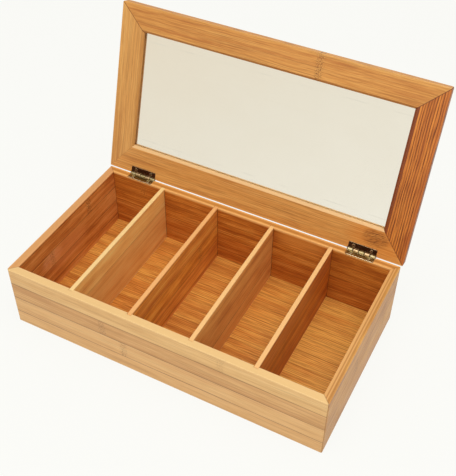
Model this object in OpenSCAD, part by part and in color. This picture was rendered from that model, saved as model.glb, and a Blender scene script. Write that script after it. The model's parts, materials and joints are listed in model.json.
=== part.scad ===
// Tea bag organizer box: a mitred bamboo case with five compartments, four lift-out dividers
// and a framed window lid that stands open on two flush hinges.
// Millimetres. +X is the box's right, +Y its hinge side and +Z up.
// The origin is the centre of the case's underside.

/* [Case] */
// Outside width of the case
case_w = 360; // [300:5:460]
// Outside depth of the case
case_d = 195; // [150:5:260]
// Height of the case without its lid
case_h = 79; // [50:1:130]
// Thickness of the four walls
wall_t = 8.5; // [8:0.5:12]
// Radius of the upright outer corners
corner_r = 2; // [1.5:0.5:6]
// Radius of the eased long edges of the walls and of the lid's frame
edge_r = 0.6; // [0.5:0.1:1.6]

/* [Floor] */
// Thickness of the floor panel, which fills its rabbet
floor_t = 4; // [3:0.5:8]
// How far the floor panel's rabbet reaches under each wall
floor_tongue = 5; // [2:0.5:6]
// Room round the floor panel's edge in its rabbet
floor_play = 0.2; // [0.1:0.05:0.4]

/* [Dividers] */
// Thickness of each divider
divider_t = 4.6; // [3:0.1:8]
// Depth of the groove that a divider's end slides in
groove_d = 2.5; // [2:0.5:6]
// Room on each side of a divider in its groove
groove_play = 0.2; // [0.15:0.05:0.5]
// Room between a divider's end and the bottom of its groove
divider_end_play = 0.3; // [0.2:0.05:0.6]
// How far the dividers' tops lie below the top of the walls
divider_drop = 0; // [0:0.1:3]
// Radius of a divider's eased top edges
divider_edge_r = 0.6; // [0.3:0.1:1.2]

/* [Lid frame] */
// How far the closed lid reaches past the case on each side
lid_over = 1.5; // [0:0.5:3]
// How far the closed lid's free edge lies back from the front of the case
lid_inset = 1; // [0:0.5:3]
// Thickness of the lid's frame
lid_t = 9; // [8.5:0.5:14]
// Width of the two side stiles
stile_w = 29; // [20:1:40]
// Width of the rail at the lid's free edge
free_rail_w = 28.5; // [20:0.5:40]
// Width of the rail that carries the hinges
hinge_rail_w = 33.5; // [26:0.5:45]
// Width of the bevel round the window, on the lid's inner face
bevel_w = 2.5; // [2:0.5:6]
// Depth of that bevel
bevel_d = 2; // [1:0.5:3]
// Gap between the closed lid and the top of the case
lid_gap = 0.4; // [0.4:0.1:1]
// Angle to which the lid stands open
lid_open = 106.7; // [95:0.1:115]

/* [Window] */
// Thickness of the clear pane
pane_t = 2; // [1.5:0.5:3]
// Distance from the lid's inner face to the pane
pane_setback = 4; // [3.5:0.5:4]
// Depth of the groove that holds the pane's edge
pane_groove_d = 6; // [3:0.5:9]
// Room between the pane's edge and the bottom of its groove
pane_edge_play = 0.5; // [0.2:0.1:1]
// Room behind the pane in its groove
pane_slack = 0.1; // [0.05:0.05:0.3]

/* [Hinges] */
// Length of a hinge
hinge_len = 32; // [26:1:38]
// Distance from the case's side to the middle of a hinge
hinge_from_side = 44; // [34:1:50]
// How far the hinge axis lies behind the back wall
axis_back = 0.3; // [0.2:0.1:1.5]
// Thickness of a hinge leaf
leaf_t = 1; // [0.9:0.1:1.5]
// How far a leaf's edge lies back from the inner face of the wall that carries it
leaf_setback = 0.2; // [0:0.1:2]
// Radius of a leaf's outer corners
leaf_corner_r = 2; // [0.5:0.1:2.5]
// Outer radius of the knuckles
knuckle_r = 1.6; // [1.5:0.05:2.2]
// Gap between neighbouring knuckles
knuckle_gap = 0.2; // [0.1:0.05:0.4]
// Room round the leaves in their mortises
mortise_play = 0.15; // [0.05:0.05:0.4]
// Room round the knuckles in the wood
knuckle_room = 0.3; // [0.2:0.05:0.6]

/* [Hinge pins] */
// Radius of a hinge pin
pin_r = 0.8; // [0.6:0.05:0.9]
// Radial clearance of the pin in the knuckles
pin_play = 0.05; // [0.02:0.01:0.1]
// Radius of the pin's heads
pin_head_r = 1.2; // [1:0.05:1.4]
// Thickness of the pin's heads
pin_head_t = 0.6; // [0.3:0.1:1]

/* [Hinge stops] */
// How far the stop lugs reach from the hinge axis
lug_reach = 2.9; // [2.6:0.1:3.6]
// Thickness of the stop lugs
lug_t = 0.9; // [0.6:0.1:1.2]
// Length of each lug along the hinge
lug_len = 1.6; // [1:0.1:2.4]
// Angle below level at which the lugs meet behind the hinge
lug_drop = 45; // [42:1:60]
// Room between the lugs where they meet
lug_room = 0.06; // [0.02:0.01:0.1]
// Room between the fixed lug and the knuckles that turn under it
lug_clear = 0.25; // [0.15:0.05:0.4]

/* [Screws] */
// Distance between the two screws of a leaf
screw_spacing = 20; // [14:0.5:22]
// Radius of a screw's shank and of its pilot hole
screw_r = 1; // [0.8:0.1:1.3]
// Radius of a screw's countersunk head
screw_head_r = 1.75; // [1.5:0.05:2.2]
// Depth of the countersunk head
screw_head_d = 0.85; // [0.6:0.05:0.9]
// Room round the head and shank in the leaf
screw_play = 0.05; // [0.02:0.01:0.1]
// Length of the screws that hold a leaf to the case
case_screw_len = 12; // [8:0.5:20]
// Length of the screws that hold a leaf to the lid
lid_screw_len = 7; // [5:0.5:7.5]
// Length of the screw's point
screw_tip_len = 1.8; // [1:0.1:2.5]
// Width of the cross recess in a screw's head
recess_w = 0.4; // [0.3:0.05:0.6]
// Length of the cross recess
recess_len = 2.1; // [1.5:0.1:2.5]
// Depth of the cross recess
recess_d = 0.45; // [0.3:0.05:0.5]

/* [Hidden] */
$fn = 48;

// Five compartments need four dividers, one node each
divider_count = 4;
// Five knuckles: three on the leaf in the case, two on the leaf in the lid
knuckle_count = 5;
// A cut runs this far past the face that it opens
cut_past = 1;

inner_w = case_w - 2 * wall_t;
inner_d = case_d - 2 * wall_t;
divider_pitch = (inner_w + divider_t) / (divider_count + 1);
divider_h = case_h - floor_t - divider_drop;

// The hinge axis lies in the middle of the gap between case and lid
axis_y = case_d / 2 + axis_back;
axis_z = case_h + lid_gap / 2;
hinge_x = case_w / 2 - hinge_from_side;
// A leaf spans the wall's thickness, less its setback, measured from the axis
leaf_w = axis_back + wall_t - leaf_setback;
// Screws sit halfway across the part of the leaf that is clear of the knuckles
screw_y = -(leaf_w + knuckle_r) / 2;
knuckle_pitch = hinge_len / knuckle_count;
lid_z = case_h + lid_gap;
lid_w = case_w + 2 * lid_over;
lid_d = case_d - lid_inset;
lug_root_r = (pin_r + knuckle_r) / 2;

front_bamboo = [0.84, 0.68, 0.45];
case_bamboo = [0.80, 0.58, 0.36];
floor_bamboo = [0.80, 0.52, 0.25];
divider_bamboo = [0.76, 0.50, 0.28];
lid_bamboo = [0.82, 0.58, 0.31];
pane_clear = [0.91, 0.89, 0.83, 0.35];
bronze = [0.34, 0.25, 0.14];
brass = [0.62, 0.53, 0.32];

// A rectangle w by h from the origin, its four corners eased to radius r
module eased_rect(w, h, r) {
    translate([r, 0])
        square([w - 2 * r, h]);
    translate([0, r])
        square([w, h - 2 * r]);
    for (x = [r, w - r], y = [r, h - r])
        translate([x, y])
            circle(r);
}

// Outline of a board along X seen from above: outer edge on y = 0, inner edge on y = w, mitred to meet
// boards that are end_a wide at its left end and end_b wide at its right end
module mitre_plan(len, w, end_a, end_b) {
    intersection() {
        polygon([[-len / 2, 0], [len / 2, 0], [len / 2 - end_b, w], [-len / 2 + end_a, w]]);
        union() {
            translate([-len / 2 + corner_r, 0])
                square([len - 2 * corner_r, w]);
            translate([-len / 2, corner_r])
                square([len, w - corner_r]);
            for (side = [-1, 1])
                translate([side * (len / 2 - corner_r), corner_r])
                    circle(corner_r);
        }
    }
}

// A mitred board of height h whose cross-section, across by up, is the 2D child
module mitred_board(len, w, h, end_a, end_b) {
    intersection() {
        linear_extrude(height = h)
            mitre_plan(len, w, end_a, end_b);
        translate([-len / 2, 0, 0])
            rotate([90, 0, 90])
                linear_extrude(height = len)
                    children();
    }
}

module wall_board(len) {
    mitred_board(len, wall_t, case_h, wall_t, wall_t)
        eased_rect(wall_t, case_h, edge_r);
}

// The space of the floor panel's rabbet, cut from all four walls
module floor_rabbet() {
    rabbet_w = inner_w + 2 * floor_tongue;
    rabbet_d = inner_d + 2 * floor_tongue;
    translate([-rabbet_w / 2, -rabbet_d / 2, -cut_past])
        cube([rabbet_w, rabbet_d, floor_t + cut_past]);
}

function divider_x(i) = (i - (divider_count + 1) / 2) * divider_pitch;

// Grooves for the dividers' ends, open at the top
module divider_grooves() {
    slot_w = divider_t + 2 * groove_play;
    slot_len = inner_d + 2 * groove_d;
    for (i = [1 : divider_count])
        translate([divider_x(i) - slot_w / 2, -slot_len / 2, floor_t])
            cube([slot_w, slot_len, case_h - floor_t + cut_past]);
}

module at_hinge(side) {
    translate([side * hinge_x, axis_y, axis_z])
        children();
}

// Room for the knuckles and the pin's heads in the wood on both sides of the gap
module knuckle_relief() {
    relief_len = hinge_len + 2 * (pin_head_t + mortise_play);
    rotate([0, 90, 0])
        cylinder(h = relief_len, r = knuckle_r + knuckle_room, center = true);
}

module pilot_holes(screw_len) {
    for (side = [-1, 1])
        translate([side * screw_spacing / 2, screw_y, -lid_gap / 2 - screw_len])
            cylinder(h = screw_len, r = screw_r);
}

// Everything that is cut from the back wall for one hinge. The mortise runs out at the wall's inner face
module case_hinge_cut(side) {
    mortise_len = hinge_len + 2 * mortise_play;
    at_hinge(side) {
        knuckle_relief();
        pilot_holes(case_screw_len);
        translate([-mortise_len / 2, -axis_back - wall_t - cut_past, -lid_gap / 2 - leaf_t])
            cube([mortise_len, wall_t + axis_back + cut_past, leaf_t + cut_past]);
    }
}

// The same for the lid's hinge rail, where the mortise stops just past the leaf's edge
module lid_hinge_cut(side) {
    mortise_len = hinge_len + 2 * mortise_play;
    mortise_w = leaf_w + mortise_play;
    at_hinge(side) {
        knuckle_relief();
        mirror([0, 0, 1]) {
            pilot_holes(lid_screw_len);
            translate([-mortise_len / 2, -mortise_w, -lid_gap / 2 - leaf_t])
                cube([mortise_len, mortise_w, leaf_t + cut_past]);
        }
    }
}

module front_wall() {
    color(front_bamboo)
        difference() {
            translate([0, -case_d / 2, 0])
                wall_board(case_w);
            floor_rabbet();
            divider_grooves();
        }
}

module back_wall() {
    color(case_bamboo)
        difference() {
            translate([0, case_d / 2, 0])
                rotate([0, 0, 180])
                    wall_board(case_w);
            floor_rabbet();
            divider_grooves();
            case_hinge_cut(-1);
            case_hinge_cut(1);
        }
}

// side is -1 for the left wall and 1 for the right one
module side_wall(side) {
    color(case_bamboo)
        difference() {
            translate([side * case_w / 2, 0, 0])
                rotate([0, 0, side * 90])
                    wall_board(case_d);
            floor_rabbet();
        }
}

module floor_panel() {
    panel_w = inner_w + 2 * (floor_tongue - floor_play);
    panel_d = inner_d + 2 * (floor_tongue - floor_play);
    color(floor_bamboo)
        translate([-panel_w / 2, -panel_d / 2, 0])
            cube([panel_w, panel_d, floor_t]);
}

// A divider stands on the floor panel, square at the bottom and eased along its top
module divider(i) {
    divider_len = inner_d + 2 * (groove_d - divider_end_play);
    color(divider_bamboo)
        translate([divider_x(i) + divider_t / 2, -divider_len / 2, floor_t])
            rotate([90, 0, 180])
                linear_extrude(height = divider_len) {
                    eased_rect(divider_t, divider_h, divider_edge_r);
                    square([divider_t, divider_h / 2]);
                }
}

// Moves a piece of the closed lid to its open place
module swing_open() {
    translate([0, axis_y, axis_z])
        rotate([-lid_open, 0, 0])
            translate([0, -axis_y, -axis_z])
                children();
}

// Cross-section of a frame member, inner face down: bevel and pane groove are on its window edge
module frame_profile(w) {
    difference() {
        eased_rect(w, lid_t, edge_r);
        polygon([[w - bevel_w, 0], [w, bevel_d], [w + cut_past, bevel_d], [w + cut_past, -cut_past],
            [w - bevel_w, -cut_past]]);
        translate([w - pane_groove_d, pane_setback])
            square([pane_groove_d + cut_past, pane_t + pane_slack]);
    }
}

module frame_member(len, w, end_a, end_b) {
    mitred_board(len, w, lid_t, end_a, end_b)
        frame_profile(w);
}

module lid_front_rail() {
    color(lid_bamboo)
        swing_open()
            translate([0, case_d / 2 - lid_d, lid_z])
                frame_member(lid_w, free_rail_w, stile_w, stile_w);
}

module lid_back_rail() {
    color(lid_bamboo)
        swing_open()
            difference() {
                translate([0, case_d / 2, lid_z])
                    rotate([0, 0, 180])
                        frame_member(lid_w, hinge_rail_w, stile_w, stile_w);
                lid_hinge_cut(-1);
                lid_hinge_cut(1);
            }
}

module lid_left_stile() {
    color(lid_bamboo)
        swing_open()
            translate([-lid_w / 2, lid_inset / 2, lid_z])
                rotate([0, 0, -90])
                    frame_member(lid_d, stile_w, hinge_rail_w, free_rail_w);
}

module lid_right_stile() {
    color(lid_bamboo)
        swing_open()
            translate([lid_w / 2, lid_inset / 2, lid_z])
                rotate([0, 0, 90])
                    frame_member(lid_d, stile_w, free_rail_w, hinge_rail_w);
}

// The pane lies against the lip between the bevel and its groove
module lid_window() {
    held = pane_groove_d - pane_edge_play;
    pane_w = lid_w - 2 * stile_w + 2 * held;
    pane_d = lid_d - free_rail_w - hinge_rail_w + 2 * held;
    color(pane_clear)
        swing_open()
            translate([-pane_w / 2, case_d / 2 - lid_d + free_rail_w - held, lid_z + pane_setback])
                cube([pane_w, pane_d, pane_t]);
}

// Outline of a leaf's plate. It stops short of the other leaf's knuckles and runs under its own,
// which are every second one from number own
module leaf_plan(own) {
    plate_d = leaf_w - knuckle_r - knuckle_gap;
    r = leaf_corner_r;
    translate([-hinge_len / 2, -leaf_w + r])
        square([hinge_len, plate_d - r]);
    translate([-hinge_len / 2 + r, -leaf_w])
        square([hinge_len - 2 * r, plate_d]);
    for (side = [-1, 1])
        translate([side * (hinge_len / 2 - r), -leaf_w + r])
            circle(r);
    for (i = [own : 2 : knuckle_count - 1])
        translate([knuckle_start(i), -leaf_w + r])
            square([knuckle_pitch - knuckle_gap, leaf_w - r]);
}

function knuckle_start(i) = -hinge_len / 2 + i * knuckle_pitch + knuckle_gap / 2;

// A leaf whose axis runs along X through the origin, its plate towards -Y just below the axis
module hinge_leaf(own) {
    difference() {
        union() {
            translate([0, 0, -lid_gap / 2 - leaf_t])
                linear_extrude(height = leaf_t)
                    leaf_plan(own);
            for (i = [own : 2 : knuckle_count - 1])
                translate([knuckle_start(i), 0, 0])
                    rotate([0, 90, 0])
                        cylinder(h = knuckle_pitch - knuckle_gap, r = knuckle_r);
            children();
        }
        rotate([0, 90, 0])
            cylinder(h = hinge_len + 2 * cut_past, r = pin_r + pin_play, center = true);
        for (side = [-1, 1])
            translate([side * screw_spacing / 2, screw_y, -lid_gap / 2])
                countersink();
    }
}

// A screw hole through the leaf, its mouth at the origin and opening upwards
module countersink() {
    translate([0, 0, -screw_head_d])
        cylinder(h = screw_head_d, r1 = screw_r + screw_play, r2 = screw_head_r + screw_play);
    translate([0, 0, -leaf_t - cut_past])
        cylinder(h = leaf_t + cut_past, r = screw_r + screw_play);
    cylinder(h = cut_past, r = screw_head_r + screw_play);
}

// A bar along X that stands out behind the axis, its meeting face on the level plane z = 0
module lug(x_from, x_to, r_from, face_side) {
    z_from = face_side > 0 ? lug_room / 2 : -lug_room / 2 - lug_t;
    translate([x_from, r_from, z_from])
        cube([x_to - x_from, lug_reach - r_from, lug_t]);
}

// The fixed lug stands on the middle knuckle and reaches over the knuckles beside it. Its root is a little
// shorter than the knuckle
module hinge_box_leaf(side) {
    middle = knuckle_pitch / 2;
    root = middle - knuckle_gap;
    color(brass)
        at_hinge(side)
            hinge_leaf(0)
                rotate([-lug_drop, 0, 0]) {
                    lug(-root, root, lug_root_r, -1);
                    lug(-middle - lug_len, middle + lug_len, knuckle_r + lug_clear, -1);
                }
}

// Two lugs, one on each knuckle, come down on the fixed lug when the lid is open
module hinge_lid_leaf(side) {
    first = knuckle_pitch / 2 + knuckle_gap;
    last = knuckle_pitch / 2 + lug_len;
    color(bronze)
        swing_open()
            at_hinge(side)
                mirror([0, 0, 1])
                    hinge_leaf(1)
                        mirror([0, 0, 1])
                            rotate([lid_open - lug_drop, 0, 0]) {
                                lug(first, last, lug_root_r, 1);
                                lug(-last, -first, lug_root_r, 1);
                            }
}

module hinge_pin(side) {
    color(brass)
        at_hinge(side)
            rotate([0, 90, 0]) {
                cylinder(h = hinge_len, r = pin_r, center = true);
                for (end = [0, 180])
                    rotate([0, end, 0])
                        translate([0, 0, hinge_len / 2])
                            cylinder(h = pin_head_t, r1 = pin_head_r, r2 = pin_r);
            }
}

// A countersunk screw driven downwards, the top of its head at the origin
module screw(len) {
    difference() {
        union() {
            translate([0, 0, -screw_head_d])
                cylinder(h = screw_head_d, r1 = screw_r, r2 = screw_head_r);
            translate([0, 0, -len + screw_tip_len])
                cylinder(h = len - screw_tip_len - screw_head_d, r = screw_r);
            translate([0, 0, -len])
                cylinder(h = screw_tip_len, r1 = 0, r2 = screw_r);
        }
        for (turn = [0, 90])
            rotate([0, 0, turn])
                translate([-recess_len / 2, -recess_w / 2, -recess_d])
                    cube([recess_len, recess_w, recess_d + cut_past]);
    }
}

module screw_pair(len) {
    for (side = [-1, 1])
        translate([side * screw_spacing / 2, screw_y, -lid_gap / 2])
            screw(len);
}

module box_screws(side) {
    color(brass)
        at_hinge(side)
            screw_pair(case_screw_len);
}

module lid_screws(side) {
    color(bronze)
        swing_open()
            at_hinge(side)
                mirror([0, 0, 1])
                    screw_pair(lid_screw_len);
}

front_wall();
back_wall();
side_wall(-1);  // left_wall
side_wall(1);  // right_wall
floor_panel();
divider(1);  // divider_1
divider(2);  // divider_2
divider(3);  // divider_3
divider(4);  // divider_4
lid_front_rail();
lid_back_rail();
lid_left_stile();
lid_right_stile();
lid_window();
hinge_box_leaf(-1);  // left_hinge_box_leaf
hinge_box_leaf(1);  // right_hinge_box_leaf
hinge_lid_leaf(-1);  // left_hinge_lid_leaf
hinge_lid_leaf(1);  // right_hinge_lid_leaf
hinge_pin(-1);  // left_hinge_pin
hinge_pin(1);  // right_hinge_pin
box_screws(-1);  // left_box_screws
box_screws(1);  // right_box_screws
lid_screws(-1);  // left_lid_screws
lid_screws(1);  // right_lid_screws
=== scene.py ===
"""Looks of a bamboo tea bag organizer box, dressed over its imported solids.

The frame is the box's own, in metres: X runs to its right, Y to its hinges and Z up, and the origin is the centre of
its underside. Sizes of boards and fittings are written in millimetres, as a maker gives them.
"""

import json
import logging
import math
from dataclasses import dataclass, replace
from enum import Enum
from typing import Any, Callable, Sequence, Union

import bpy
import numpy as np
from mathutils import Matrix, Vector


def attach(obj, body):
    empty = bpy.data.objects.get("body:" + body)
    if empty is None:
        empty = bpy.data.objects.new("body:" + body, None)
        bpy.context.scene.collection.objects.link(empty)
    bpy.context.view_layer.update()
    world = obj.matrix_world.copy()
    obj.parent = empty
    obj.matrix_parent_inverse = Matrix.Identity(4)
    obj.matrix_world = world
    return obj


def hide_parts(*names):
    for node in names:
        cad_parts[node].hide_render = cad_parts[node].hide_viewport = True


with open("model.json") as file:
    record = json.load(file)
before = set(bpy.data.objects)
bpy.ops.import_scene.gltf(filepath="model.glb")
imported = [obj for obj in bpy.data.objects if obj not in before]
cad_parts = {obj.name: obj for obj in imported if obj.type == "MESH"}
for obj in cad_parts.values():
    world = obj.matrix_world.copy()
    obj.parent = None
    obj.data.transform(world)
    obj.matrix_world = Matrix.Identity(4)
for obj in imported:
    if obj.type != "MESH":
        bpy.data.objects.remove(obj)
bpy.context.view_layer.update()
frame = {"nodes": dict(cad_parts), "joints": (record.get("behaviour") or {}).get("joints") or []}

LOG = logging.getLogger("tea_bag_box")
MM = 0.001
X, Y, Z = (1.0, 0.0, 0.0), (0.0, 1.0, 0.0), (0.0, 0.0, 1.0)

Triple = tuple[float, float, float]
Tone = tuple[int, int, int]
Number = Union["Value", float]


def linear(tone: Tone) -> tuple[float, ...]:
    """Turns a colour as it shows on a screen, 0 to 255, into the four linear values that shaders take.

    Args:
        tone: The colour.

    Returns:
        The linear red, green and blue, and 1 for opaque.
    """
    shown = np.array(tone) / 255
    values = np.where(shown <= 0.04045, shown / 12.92, ((shown + 0.055) / 1.055) ** 2.4)
    return (*values.tolist(), 1.0)


# ---- shader expressions


def two_terms(operation: str, swapped: bool = False) -> Callable[["Value", Number], "Value"]:
    """Makes a method of Value that adds a Math node for it and another term.

    Args:
        operation: What the node does.
        swapped: Whether the other term comes first.

    Returns:
        The method.
    """
    def method(value: "Value", other: Number) -> "Value":
        """Returns the node's result."""
        return value.worked_out(operation, *((other, value) if swapped else (value, other)))

    return method


class Value:
    """A number that changes over a surface. Arithmetic on it adds the Math nodes that work it out."""

    __add__ = __radd__ = two_terms("ADD")
    __sub__, __rsub__ = two_terms("SUBTRACT"), two_terms("SUBTRACT", swapped=True)
    __mul__ = __rmul__ = two_terms("MULTIPLY")
    __truediv__ = two_terms("DIVIDE")
    least, most = two_terms("MINIMUM"), two_terms("MAXIMUM")

    def __init__(self, recipe: "Recipe", socket: bpy.types.NodeSocket) -> None:
        """Keeps the recipe that the number belongs to and the socket that gives it."""
        self.recipe = recipe
        self.socket = socket

    def worked_out(self, operation: str, *terms: Number) -> "Value":
        """Adds one Math node for the terms and returns its result."""
        node = self.recipe.node("ShaderNodeMath", dict(enumerate(terms)), operation=operation)
        return Value(self.recipe, node.outputs[0])

    def __abs__(self) -> "Value":
        """The size of the number without its sign."""
        return self.worked_out("ABSOLUTE", self)

    def floor(self) -> "Value":
        """The whole number at or below it."""
        return self.worked_out("FLOOR", self)

    def rise(self, low: float, high: float) -> "Value":
        """A smooth step: 0 up to low, 1 from high on."""
        node = self.recipe.node("ShaderNodeMapRange", {0: self, 1: low, 2: high}, interpolation_type="SMOOTHSTEP")
        return Value(self.recipe, node.outputs[0])

    def fall(self, low: float, high: float) -> "Value":
        """A smooth step down: 1 up to low, 0 from high on."""
        return 1 - self.rise(low, high)


class Recipe:
    """The node tree of one material or world, with the few helpers that every finish needs."""

    def __init__(self, owner: bpy.types.Material | bpy.types.World, output: str = "ShaderNodeOutputMaterial") -> None:
        """Empties the owner's node tree, but for an output node.

        Args:
            owner: What the tree belongs to.
            output: The output node's type.
        """
        owner.use_nodes = True
        self.owner = owner
        self.tree = owner.node_tree
        self.tree.nodes.clear()
        self.output = self.node(output)
        self._place: bpy.types.NodeSocket | None = None

    def node(self, kind: str, inputs: dict[Any, Any] | None = None, **settings: Any) -> bpy.types.Node:
        """Adds a node of any type.

        Args:
            kind: The node's type, such as ShaderNodeTexNoise.
            inputs: Its sockets, by name or number, each with a plain value, a Tone, a Value or a socket to link.
            settings: Its properties, which are set first.

        Returns:
            The new node.
        """
        made = self.tree.nodes.new(kind)
        for name, value in settings.items():
            setattr(made, name, value)
        for name, value in (inputs or {}).items():
            socket = made.inputs[name]
            if isinstance(value, Value):
                self.tree.links.new(value.socket, socket)
            elif isinstance(value, bpy.types.NodeSocket):
                self.tree.links.new(value, socket)
            else:
                socket.default_value = linear(value) if socket.type == "RGBA" else value
        return made

    def measure(self, direction: Triple, start: float) -> Value:
        """How far a point lies along a direction, in millimetres.

        Args:
            direction: The direction, a unit vector in the box's frame.
            start: What is added, so that the measure starts at a board's own edge.

        Returns:
            The distance, which changes over the surface.
        """
        if self._place is None:
            self._place = self.node("ShaderNodeTexCoord").outputs["Object"]
        scaled = tuple(component / MM for component in direction)
        dot = self.node("ShaderNodeVectorMath", {0: self._place, 1: scaled}, operation="DOT_PRODUCT")
        return Value(self, dot.outputs["Value"]) + start

    def noise(self, x: Number, y: Number, z: Number, detail: float = 2.0, rough: float = 0.5) -> Value:
        """Adds smooth noise of 0 to 1, about 0.5 on average.

        Args:
            x: The first of the three numbers that say where it is read.
            y: The second.
            z: The third.
            detail: How many finer layers it has.
            rough: How strong those are.

        Returns:
            The noise.
        """
        point = self.node("ShaderNodeCombineXYZ", {0: x, 1: y, 2: z}).outputs[0]
        shape = {"Vector": point, "Scale": 1.0, "Detail": detail, "Roughness": rough}
        return Value(self, self.node("ShaderNodeTexNoise", shape, noise_dimensions="3D").outputs[0])

    def chance(self, number: Value, seed: float) -> tuple[Value, Value]:
        """Draws two random numbers.

        Args:
            number: What they depend on. The same number always gives the same two.
            seed: What is added to it.

        Returns:
            Both of them, 0 to 1.
        """
        drawn = self.node("ShaderNodeTexWhiteNoise", {"W": number + seed}, noise_dimensions="1D").outputs["Color"]
        split = self.node("ShaderNodeSeparateColor", {0: drawn}).outputs
        return Value(self, split[0]), Value(self, split[1])

    def ramp(self, factor: Value, low: Tone, middle: Tone, high: Tone) -> bpy.types.NodeSocket:
        """Reads a colour from a ramp of three, which lie at 0, 0.5 and 1.

        Args:
            factor: Where it is read.
            low: The colour at 0.
            middle: The colour at 0.5.
            high: The colour at 1.

        Returns:
            The colour.
        """
        made = self.node("ShaderNodeValToRGB", {0: factor})
        made.color_ramp.elements.new(0.5)
        for element, colour in zip(made.color_ramp.elements, (low, middle, high)):
            element.color = linear(colour)
        return made.outputs[0]

    def mix(self, factor: Number, first: Any, second: Any) -> bpy.types.NodeSocket:
        """Mixes two colours: the first at factor 0, the second at factor 1."""
        inputs = {0: factor, 6: first, 7: second}
        return self.node("ShaderNodeMix", inputs, data_type="RGBA", clamp_factor=True).outputs[2]

    def blend(self, factor: Number, first: bpy.types.NodeSocket, second: bpy.types.NodeSocket) -> bpy.types.NodeSocket:
        """Mixes two shaders: the first at factor 0, the second at factor 1."""
        return self.node("ShaderNodeMixShader", {0: factor, 1: first, 2: second}).outputs[0]

    def bump(self, height: Value, reach_mm: float, strength: float) -> bpy.types.NodeSocket:
        """A normal roughened by a height, 0 to 1, that stands for reach_mm at most."""
        inputs = {"Strength": strength, "Distance": reach_mm * MM, "Height": height}
        return self.node("ShaderNodeBump", inputs).outputs[0]

    def principled(self, **inputs: Any) -> bpy.types.NodeSocket:
        """Adds the main shader, with the words of its socket names joined by underscores."""
        named = {name.replace("_", " "): value for name, value in inputs.items()}
        return self.node("ShaderNodeBsdfPrincipled", named).outputs[0]

    def seen_directly(self) -> Value:
        """Tells rays from the eye, also those by way of a mirror or through glass, from those that only carry light.

        Returns:
            1 for the former and 0 for the latter.
        """
        path = self.node("ShaderNodeLightPath").outputs
        camera, glossy, through = (Value(self, path[f"Is {kind} Ray"]) for kind in ("Camera", "Glossy", "Transmission"))
        return camera.most(glossy).most(through)

    def finish(self, shader: bpy.types.NodeSocket) -> bpy.types.Material | bpy.types.World:
        """Links the shader to the output and returns what the tree belongs to."""
        self.tree.links.new(shader, self.output.inputs["Surface"])
        return self.owner


# ---- bamboo


class Mitre(Enum):
    """Which way a board's mitred ends slope."""

    NONE = "square ends"
    THROUGH = "from its outer face to its inner face"
    ACROSS = "from its outer edge to its inner edge"


@dataclass(frozen=True)
class Mark:
    """A node mark, where a stem's joint was planed flat: its place along the board, its strip and how strong it is."""

    along: float
    strip: int
    strength: float = 1.0


@dataclass(frozen=True)
class Smudge:
    """An oval patch of another tint: its place, its reach along and across, its strength and how torn it is."""

    along: float
    across: float
    reach: tuple[float, float]
    tint: Tone
    strength: float = 0.6
    ticks: float = 0.0


@dataclass(frozen=True)
class Board:
    """How one bamboo board lies, in millimetres.

    Each of along, across and through is a direction with what is added to it. along starts at the board's middle,
    across at its outer or lower edge and through at its outer face. ends are the widths that its two mitres take up,
    and seams say how dark the joints there are. housed is how much of each end is let into a groove. lift is how
    much paler the board gets over 100 mm from its middle to its far end. tints make a strip, given by its number,
    paler and rosier.
    """

    along: tuple[Triple, float]
    across: tuple[Triple, float]
    through: tuple[Triple, float]
    length: float
    width: float
    thick: float
    strip: float
    first: float = 0.0
    seed: float = 0.0
    mitre: Mitre = Mitre.NONE
    ends: tuple[float, float] = (0.0, 0.0)
    seams: tuple[float, float] = (0.4, 0.4)
    housed: float = 0.0
    lift: float = 0.0
    tints: tuple[tuple[int, float, float], ...] = ()
    marks: tuple[Mark, ...] = ()
    smudges: tuple[Smudge, ...] = ()


@dataclass(frozen=True)
class BambooFinish:
    """Planed strip bamboo under a clear satin coat.

    pale, body and deep are the wood's tones, rosy is what some strips lean to, and outside takes the place of the
    first three on the outer face. On the back and left walls the first three are deeper and more orange than the
    outside ones: painted shade and bounced light of the box's inside. Other tones cover the wood by a share of
    0 to 1: crown on the upper edge, rim along all edges, bevel round a window and line in the joints. The rim is a
    painted highlight of the eased edges where it is pale and painted shade where it is dark, and the bevel tone is
    painted light and shade on the bevel, pale where it faces the light and dark where it faces away. contrast,
    clouds, streaks, strands and lines say how strong the kinds of pattern are, and spread and blush how far the
    strips differ in lightness and rosiness.
    """

    pale: Tone
    body: Tone
    deep: Tone
    rosy: Tone
    rim: Tone
    crown: Tone
    crown_share: float = 0.0
    crown_start: float = 0.0
    crown_lines: tuple[float, ...] = ()
    rim_share: float = 0.5
    rim_width: float = 2.0
    bevel: Tone = (0, 0, 0)
    bevel_shading_share: float = 0.0
    bevel_reach: float = 2.5
    line: Tone = (120, 72, 30)
    line_share: float = 0.6
    contrast: float = 1.0
    clouds: float = 0.0
    streaks: float = 0.5
    strands: float = 0.2
    lines: float = 0.0
    line_gap: float = 2.8
    line_sway: float = 2.4
    spread: float = 0.3
    blush: float = 0.35
    outside: tuple[Tone, Tone, Tone] | None = None
    gloss: float = 0.45

    def make(self, name: str, board: Board) -> bpy.types.Material:
        """Makes the material of this name for one board."""
        return Bamboo(name, self, board).material()


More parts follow.
